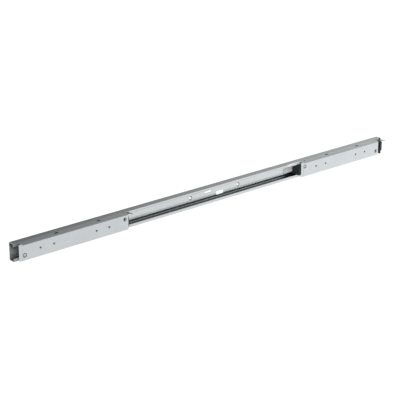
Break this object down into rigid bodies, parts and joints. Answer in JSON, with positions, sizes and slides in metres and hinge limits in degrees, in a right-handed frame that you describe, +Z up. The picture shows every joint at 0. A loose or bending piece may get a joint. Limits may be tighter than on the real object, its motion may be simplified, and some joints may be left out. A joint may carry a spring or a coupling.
{
  "type": "table extension slide",
  "caption": "Ball-bearing table extension slide: long C-shaped frame rail with short covered rails sliding in from both ends, ball cages, end guides and latches.",
  "frame": {"origin": "midpoint between the two fixing holes of the frame rail, on its back face", "axes": "+X along the slide, +Y back toward the table apron, +Z up toward the table top"},
  "size_m": [1.0745, 0.0294, 0.0384],
  "materials": {
    "zinc_frame": "zinc plated",
    "zinc_cover": "zinc plated",
    "zinc_runner": "zinc plated",
    "zinc_latch": "zinc plated",
    "rivet_steel": "zinc plated",
    "ball_steel": "polished",
    "black_plastic": "matte",
    "cage_plastic": "matte"
  },
  "bodies": {
    "frame": {"frame_rail": "zinc_frame", "frame_end_stop": "black_plastic", "frame_stop_buffer": "black_plastic"},
    "left_rail": {"left_cover": "zinc_cover", "left_runner": "zinc_runner", "left_rivet": "rivet_steel", "left_tube_rivet": "rivet_steel", "left_latch_rivet": "rivet_steel", "left_end_guide": "black_plastic"},
    "left_latch": {"left_latch": "zinc_latch"},
    "left_cage": {"left_cage": "cage_plastic", "left_upper_balls": "ball_steel", "left_lower_balls": "ball_steel"},
    "right_rail": {"right_cover": "zinc_cover", "right_runner": "zinc_runner", "right_rivet": "rivet_steel", "right_tube_rivet": "rivet_steel", "right_latch_rivet": "rivet_steel", "right_end_guide": "black_plastic"},
    "right_latch": {"right_latch": "zinc_latch"},
    "right_cage": {"right_cage": "cage_plastic", "right_upper_balls": "ball_steel", "right_lower_balls": "ball_steel"}
  },
  "joints": [
    {"name": "left_rail_slide", "type": "slide", "parent": "frame", "child": "left_rail", "axis": [1, 0, 0], "range_m": [0, 0.24]},
    {"name": "left_cage_slide", "type": "slide", "parent": "frame", "child": "left_cage", "axis": [1, 0, 0], "range_m": [0, 0.12]},
    {"name": "left_latch_swing", "type": "hinge", "parent": "left_rail", "child": "left_latch", "pos_m": [-0.2685, -0.0209, 0.01675], "axis": [0, 0, -1], "range_deg": [0, 14]},
    {"name": "right_rail_slide", "type": "slide", "parent": "frame", "child": "right_rail", "axis": [-1, 0, 0], "range_m": [0, 0.24]},
    {"name": "right_cage_slide", "type": "slide", "parent": "frame", "child": "right_cage", "axis": [-1, 0, 0], "range_m": [0, 0.12]},
    {"name": "right_latch_swing", "type": "hinge", "parent": "right_rail", "child": "right_latch", "pos_m": [0.5035, -0.0209, 0.01675], "axis": [0, 0, -1], "range_deg": [0, 14]}
  ],
  "couplings": [
    {"joint": "left_cage_slide", "follows": "left_rail_slide", "ratio": 0.5},
    {"joint": "right_cage_slide", "follows": "right_rail_slide", "ratio": 0.5}
  ]
}
